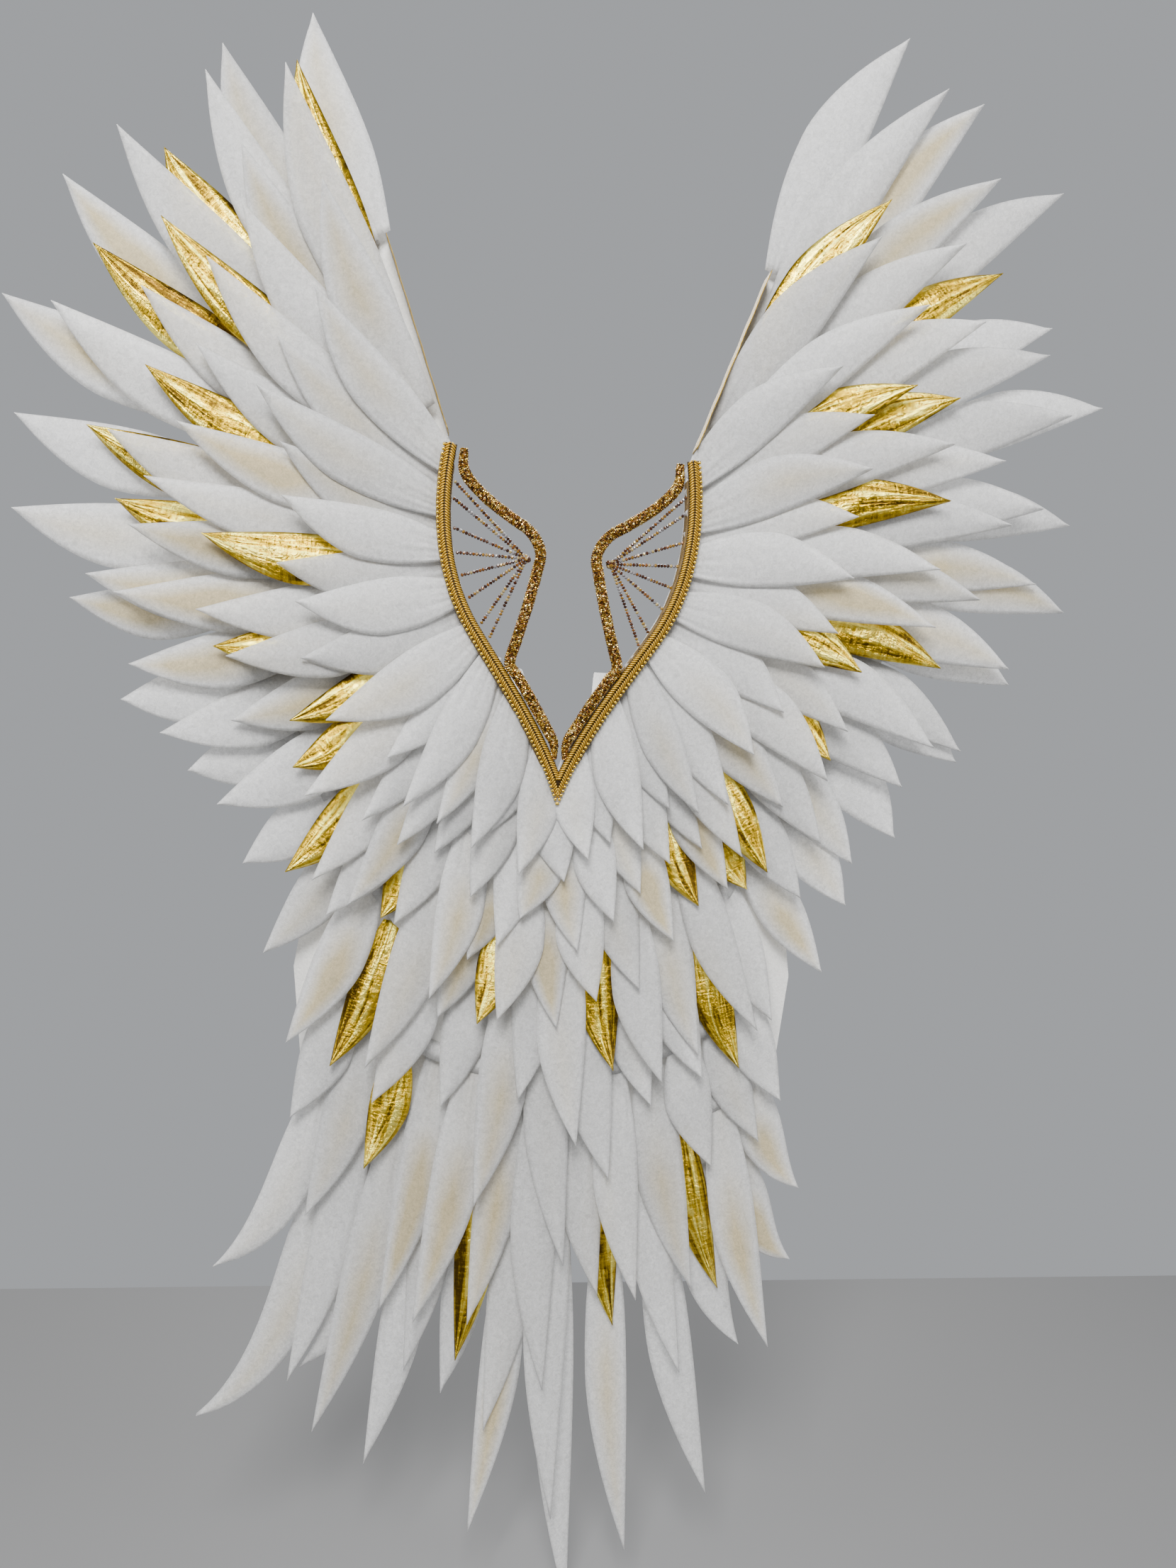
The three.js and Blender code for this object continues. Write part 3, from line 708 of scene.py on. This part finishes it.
# Braid: a flat backing along the trim, two columns of slanted strands that meet in a herringbone,
# and small gold beads along its outer edge. At its foot the sides meet in a point.
braid_width = 0.018
braid_thickness = 0.005
strand_pitch = 0.0036
strand_slant = math.radians(38)
strand_size = (0.0050, 0.0017, 0.0021)
strand_tilt = 0.0008
strand_front = 0.0029
strand_offset = 0.23 * braid_width
strand_overlap = 0.0012
edge_bead_pitch = 0.0063
edge_bead_radius = 0.0024
edge_bead_front = 0.0030
edge_bead_inset = 0.0002
edge_bead_overlap = 0.001
backing_back, backing_front = 0.0005, 0.0016
backing_half = 0.46
foot_place = 2.12
trim_back = -0.04209
trim_middle = trim_back - braid_thickness / 2


def trim_beyond(place):
    """A point of the trim, or of the straight line that it ends in beyond its foot."""
    if place <= 2:
        return trim_at(place)
    return trim_at(2) + (trim_at(2) - trim_at(1.98)) * (place - 2) / 0.02


def spaced_places(pitch):
    """Places on the trim at an even pitch, down to where the two sides cross."""
    places = np.linspace(0, foot_place, 400)
    line = np.array([trim_beyond(p) for p in places])
    run = np.concatenate(([0], np.cumsum(np.linalg.norm(np.diff(line, axis=0), axis=1))))
    count = int(run[-1] / pitch)
    return np.interp((np.arange(count) + 0.5) * run[-1] / count, run, places)


strands, edge_beads, ribbon = [], [], []
for side in (-1, 1):
    for place in spaced_places(strand_pitch):
        spot, inward = trim_beyond(place), trim_inward(min(place, 2))
        down = np.array((-inward[1], inward[0]))
        for half in (-1, 1):
            middle = spot + inward * half * strand_offset
            if middle[0] < -strand_overlap:
                continue
            axis = half * inward * math.cos(strand_slant) + down * math.sin(strand_slant)
            cross = np.array((-axis[1], axis[0]))
            strands.append((
                (side * middle[0], trim_back - strand_front, middle[1]),
                (
                    (side * axis[0] * strand_size[0], strand_tilt, axis[1] * strand_size[0]),
                    (side * cross[0] * strand_size[1], 0, cross[1] * strand_size[1]),
                    (0, strand_size[2], 0),
                ),
            ))
    for place in spaced_places(edge_bead_pitch):
        out = trim_inward(min(place, 2)) * (braid_width / 2 - edge_bead_inset)
        middle = trim_beyond(place) - out
        axes = np.eye(3) * edge_bead_radius
        if middle[0] > -edge_bead_overlap:
            edge_beads.append(((side * middle[0], trim_back - edge_bead_front, middle[1]), axes))
mitre = braid_width * backing_half / abs(trim_inward(2)[0])
for side, places in ((-1, np.linspace(0, 1.95, 60)), (0, [2]), (1, np.linspace(1.95, 0, 60))):
    for place in places:
        spot, inward = trim_at(place), trim_inward(place) * braid_width * backing_half
        outer, inner = spot - inward, spot + inward
        if side == 0:
            outer, inner = spot - (0, mitre), spot + (0, mitre)
        ribbon.append([(side * p[0], trim_back - y, p[1]) for p, y in (
            (outer, backing_back), (inner, backing_back), (inner, backing_front),
            (outer, backing_front), (outer, backing_back),
        )])
strand_shape = template("ball", segments=8, ring_count=6)
lace_strands = scatter("braid_strands", strand_shape, strands, lace, smooth=True)
finish_piece(lace_strands, "gold_braid", "trim_braid")
# The backing is near-black: the braid's own backing, and painted shade in the gaps between the strands.
lace_ribbon = grid_mesh("braid_backing", [(np.array(ribbon), 1)], [(0.5, 0)], backing_and_gap_shade)
finish_piece(lace_ribbon, "gold_braid")
round_bead = template("ico", subdivisions=2)
lace_beads = scatter("braid_edge_beads", round_bead, edge_beads, small_beads, smooth=True)
finish_piece(lace_beads, "gold_braid")

# Ropes: a core from each top corner in to the knot and down to the braid, covered all over with
# small faceted stones in copper, gold and champagne.
rope_radius = 0.0075
stone_radius = 0.00155
stone_pitch = 0.00255
stone_sink, stone_spread, stone_slide = 0.0008, 0.0003, 0.0006
core_sink = 0.0012
rope_join, rope_end = 1.3, 1.78
rope_foot = (0.0075, 0.040)
top_taper, foot_taper = (12, 0.7), (14, 0.45)
rope_route = [
    (0.884, 0.985), (0.87, 0.92), (0.708, 0.855), (0.494, 0.8), (0.321, 0.759), (0.232, 0.702),
    (0.256, 0.641), (0.321, 0.539), (0.398, 0.437),
]


def smooth_line(points, pitch):
    """Evenly spaced points on a smooth curve through the given ones. What follows x, y and z, such
    as a turn, is carried along."""
    points = np.array(points, dtype=float)
    ends = np.vstack((2 * points[0] - points[1], points, 2 * points[-1] - points[-2]))
    line = []
    for p0, p1, p2, p3 in zip(ends, ends[1:], ends[2:], ends[3:]):
        for t in np.linspace(0, 1, 24, endpoint=False):
            line.append(0.5 * (
                2 * p1 + (p2 - p0) * t + (2 * p0 - 5 * p1 + 4 * p2 - p3) * t ** 2
                + (3 * p1 - p0 - 3 * p2 + p3) * t ** 3
            ))
    line = np.array(line + [points[-1]])
    run = np.concatenate(([0], np.cumsum(np.linalg.norm(np.diff(line[:, :3], axis=0), axis=1))))
    even = np.linspace(0, run[-1], int(run[-1] / pitch) + 1)
    return np.stack([np.interp(even, run, line[:, k]) for k in range(line.shape[1])], -1)


def tube_grid(line, radii, sides, depth):
    """A tube of one radius, or one for each point, round a line in the XZ plane."""
    ahead = np.gradient(line, axis=0)
    ahead /= np.linalg.norm(ahead, axis=1)[:, None]
    turns = np.linspace(0, 2 * np.pi, sides + 1)
    rings = []
    for (x, z), (ax, az), radius in zip(line, ahead, np.broadcast_to(radii, len(line))):
        rings.append([
            (x - az * radius * math.cos(a), depth + radius * math.sin(a), z + ax * radius * math.cos(a))
            for a in turns
        ])
    return np.array(rings), 1


stone_shape = template("ico", subdivisions=1)
rope_offset = braid_width / 2 + rope_radius + 3 * clearance
for side, name in ((-1, "left"), (1, "right")):
    dice = np.random.default_rng(7 + side)
    route = [(x * trim_half_width, trim_point + z * trim_height) for x, z in rope_route]
    for place in np.linspace(rope_join, rope_end, 7):
        route.append(trim_at(place) + trim_inward(place) * rope_offset)
    route.append(np.array((rope_foot[0], trim_point + rope_foot[1])))
    line = smooth_line(route, stone_pitch)
    count = len(line)
    taper_at = [0, top_taper[0], count - foot_taper[0], count]
    taper = np.interp(np.arange(count), taper_at, [top_taper[1], 1, 1, foot_taper[1]])
    line[:, 0] *= side
    ahead = np.gradient(line, axis=0)
    ahead /= np.linalg.norm(ahead, axis=1)[:, None]
    frames, tints = [], []
    around = int(2 * math.pi * rope_radius / stone_pitch)
    for i, ((x, z), (ax, az), thick) in enumerate(zip(line, ahead, taper)):
        for j in range(around):
            turn_angle = 2 * math.pi * (j + i % 2 / 2 + dice.uniform(-0.2, 0.2)) / around
            out = thick * rope_radius - stone_sink + dice.uniform(-stone_spread, stone_spread)
            along = dice.uniform(-stone_slide, stone_slide)
            middle = (
                x - az * out * math.cos(turn_angle) + ax * along,
                trim_middle + out * math.sin(turn_angle),
                z + ax * out * math.cos(turn_angle) + az * along,
            )
            axes = np.linalg.qr(dice.normal(size=(3, 3)))[0] * stone_radius * dice.uniform(0.8, 1.1)
            frames.append((middle, axes))
            tints.append(stone_tints[dice.integers(len(stone_tints))])
    cover = scatter(f"rope_stones_{name}", stone_shape, frames, stones, tints)
    finish_piece(cover, "bronze_rope", f"rope_{name}")
    # The core is near-black brown, painted shade in the gaps between the stones.
    inside = tube_grid(line, taper * rope_radius - core_sink, 12, trim_middle)
    core = grid_mesh(f"rope_core_{name}", [inside], [(0.5, 0)], backing_and_gap_shade)
    finish_piece(core, "bronze_rope")

# Fans of beads: eight strings from the knot on the rope's bend out to the braid. Faceted glass
# beads in garnet, amber, champagne and smoke are threaded close together.
knot_place = (0.262, 0.68)
knot_radius = 0.0060
knot_beads = 26
string_places = [0.17, 0.27, 0.44, 0.58, 0.71, 0.84, 0.99, 1.13]
bead_radius = 0.0026
bead_flatness = 0.82
bead_pitch = 0.0042
thread_radius = 0.0005

bead_shape = template("ball", segments=8, ring_count=5)
for side, name in ((-1, "left"), (1, "right")):
    dice = np.random.default_rng(23 + side)
    knot = np.array((knot_place[0] * trim_half_width, trim_point + knot_place[1] * trim_height))
    knot[0] += rope_radius + knot_radius + 2 * clearance
    frames, tints, threads = [], [], []
    for place in string_places:
        edge, inward = trim_at(place), trim_inward(place)
        heading = (knot - edge) / np.linalg.norm(knot - edge)
        edge = edge + heading * (braid_width / 2 + bead_radius) / float(heading @ inward)
        reach_in = np.linalg.norm(knot - edge)
        cross = np.array((-heading[1], heading[0]))
        string = np.linspace(edge, knot, 5) * (side, 1)
        threads.append(tube_grid(string, thread_radius, 6, trim_middle))
        count = int(reach_in / bead_pitch)
        for i in range(count):
            spot = edge + heading * (i + 0.5) * reach_in / count
            roll = dice.uniform(0, math.pi)
            size = bead_radius * dice.uniform(0.94, 1.04)
            axes = np.array((
                (side * cross[0] * math.cos(roll), math.sin(roll), cross[1] * math.cos(roll)),
                (-side * cross[0] * math.sin(roll), math.cos(roll), -cross[1] * math.sin(roll)),
                (side * heading[0] * bead_flatness, 0, heading[1] * bead_flatness),
            )) * size
            frames.append(((side * spot[0], trim_middle, spot[1]), axes))
            tints.append(glass_tints[dice.integers(len(glass_tints))])
    for _ in range(knot_beads):
        offset = dice.normal(size=3)
        offset *= (knot_radius - bead_radius * 0.6) / np.linalg.norm(offset)
        middle = (side * knot[0] + offset[0], trim_middle + offset[1], knot[1] + offset[2])
        frames.append((middle, np.linalg.qr(dice.normal(size=(3, 3)))[0] * bead_radius))
        tints.append(glass_tints[dice.integers(len(glass_tints))])
    beads = scatter(f"beads_{name}", bead_shape, frames, glass, tints)
    finish_piece(beads, "brown_beads", f"bead_fan_{name}")
    thread = grid_mesh(f"bead_threads_{name}", threads, [(0.5, 0)] * len(threads), backing_and_gap_shade)
    finish_piece(thread, "brown_beads")

# Edge bands: a strip of gold foil standing on each board's inner edge, above the trim's corner.
edge_band_length = 0.262
edge_band_depth = 0.033
edge_band_thickness = 0.0015
edge_band_ripple = 0.0003
edge_steps_up, edge_steps_back = 60, 8
board_thickness = 0.003
edge_tint = (0.42, 0.26, 0.012, 1)

edge_gold = tinted_metal("edge_gold", edge_tint, 0.42, 0.4, 160, 0.004)
edge_gold.node_tree.nodes["Principled BSDF"].inputs["Specular IOR Level"].default_value = 0.15
for side, name in ((-1, "left"), (1, "right")):
    angle = math.radians(board_rise)
    depth = edge_band_depth + board_thickness
    off = clearance + edge_band_thickness / 2
    start = fan_point(board_rise, braid_width) + off * np.array((-math.sin(angle), math.cos(angle)))
    grid = np.zeros((edge_steps_up + 1, edge_steps_back + 1, 3))
    for i, share in enumerate(np.linspace(0, 1, edge_steps_up + 1)):
        spot = start + share * edge_band_length * np.array((math.cos(angle), math.sin(angle)))
        for j, back in enumerate(np.linspace(0, depth, edge_steps_back + 1)):
            ripple = edge_band_ripple * math.sin(9 * share * math.pi + 2 * back / depth)
            grid[i, j] = (
                side * (spot[0] - ripple * math.sin(angle)),
                board_front + board_thickness - back,
                spot[1] + ripple * math.cos(angle),
            )
    strip = grid_mesh(f"edge_foil_{name}", [(grid, side)], [(0.4, 0)], edge_gold)
    apply_modifier(strip, "SOLIDIFY", thickness=edge_band_thickness / 2, offset=0)
    finish_piece(strip, "gold_foil", f"edge_band_{name}")

# Boards, back plate and straps: stiff white felt board, and white woven webbing.
strap_width = 0.030
strap_thickness = 0.0025
strap_depth, strap_spread, strap_top = 0.172, 0.128, 0.318
strap_sections = [
    # share of the spread, depth and height, turn of the width from upright in degrees
    (0.6, -0.023, -0.3, 0), (0.8, 0.04, -0.3, 0), (0.98, 0.2, -0.3, 0), (1.08, 0.48, -0.29, 0),
    (1.1, 0.78, -0.2, 10), (1.03, 0.97, -0.02, 40), (0.92, 1.02, 0.25, 75), (0.78, 0.96, 0.55, 90),
    (0.66, 0.78, 0.85, 90), (0.58, 0.52, 0.98, 90), (0.52, 0.25, 0.97, 90), (0.48, 0.06, 0.82, 90),
    (0.47, -0.015, 0.66, 90), (0.47, -0.023, 0.41, 90),
]
strap_profile = [
    # shares of half the width and of half the thickness
    (1, 0.4), (0.95, 1), (0.3, 1), (-0.3, 1), (-0.95, 1), (-1, 0.4),
    (-1, -0.4), (-0.95, -1), (0, -1), (0.95, -1), (1, -0.4), (1, 0.4),
]
strap_ring_pitch = 0.004
warp_turns, weft_turns = 75.0, 2600.0
fuzz_scale, cloud_scale = 260, 9
plate_width, plate_height, plate_thickness = 0.150, 0.260, 0.008
plate_bevel = 0.003


def felt():
    material, tree, shader = new_material("white_felt_board")
    place = object_place(tree)
    fuzz = noise(tree, place, fuzz_scale, Detail=6.0, Roughness=0.7, Distortion=0.8)
    cloud = noise(tree, place, cloud_scale, Detail=2.0)
    shade = ramp(tree, fuzz, [(0.3, (0.66, 0.65, 0.62)), (0.7, (0.86, 0.85, 0.82))])
    patch = ramp(tree, cloud, [(0.3, grey(0.92)), (0.7, grey(1))])
    tree.links.new(blend_colour(tree, 1.0, shade, patch, "MULTIPLY"), shader.inputs["Base Color"])
    bump(tree, shader, product(tree, fuzz, 0.0012), 0.7)
    shader.inputs["Roughness"].default_value = 0.9
    return material


def webbing():
    material, tree, shader = new_material("white_webbing")
    u, v = uv_parts(tree)
    warp = math_node(tree, "SINE", product(tree, u, warp_turns))
    weft = math_node(tree, "SINE", product(tree, v, weft_turns))
    weave = product(tree, warp, weft)
    shade = ramp(tree, weave, [(0.0, (0.62, 0.61, 0.59)), (0.8, (0.90, 0.89, 0.87))])
    tree.links.new(shade, shader.inputs["Base Color"])
    bump(tree, shader, product(tree, weave, 0.0004), 0.6)
    shader.inputs["Roughness"].default_value = 0.8
    return material


felt_board = felt()
strap_webbing = webbing()
for name in ("wing_board_left", "wing_board_right"):
    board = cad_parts[name]
    board.data.materials.clear()
    board.data.materials.append(felt_board)

bpy.ops.mesh.primitive_cube_add(size=1)
plate = bpy.context.object
plate.name = "felt_back_plate"
for corner in plate.data.vertices:
    corner.co.x *= plate_width
    corner.co.y = corner.co.y * plate_thickness - plate_thickness / 2
    corner.co.z *= plate_height
apply_modifier(plate, "BEVEL", width=plate_bevel, segments=4, limit_method="ANGLE")
plate.data.materials.append(felt_board)
plate.data.polygons.foreach_set("use_smooth", [True] * len(plate.data.polygons))
finish_piece(plate, "white_board", "back_plate")

for side, name in ((-1, "left"), (1, "right")):
    middles = [
        (side * x * strap_spread, y * strap_depth, z * strap_top, degrees)
        for x, y, z, degrees in strap_sections
    ]
    line = smooth_line(middles, strap_ring_pitch)
    ahead = np.gradient(line[:, :3], axis=0)
    ahead /= np.linalg.norm(ahead, axis=1)[:, None]
    rings = []
    for point, forward_way in zip(line, ahead):
        turn_angle = math.radians(point[3])
        across = np.array((-side * math.sin(turn_angle), 0, math.cos(turn_angle)))
        across -= forward_way * (across @ forward_way)
        across /= np.linalg.norm(across)
        through = np.cross(forward_way, across)
        rings.append([
            point[:3] + across * a * strap_width / 2 + through * t * strap_thickness / 2
            for a, t in strap_profile
        ])
    woven = (np.array(rings), side)
    strap = grid_mesh(f"webbing_strap_{name}", [woven], [(0.5, 0)], strap_webbing)
    finish_piece(strap, "white_strap", f"shoulder_strap_{name}")
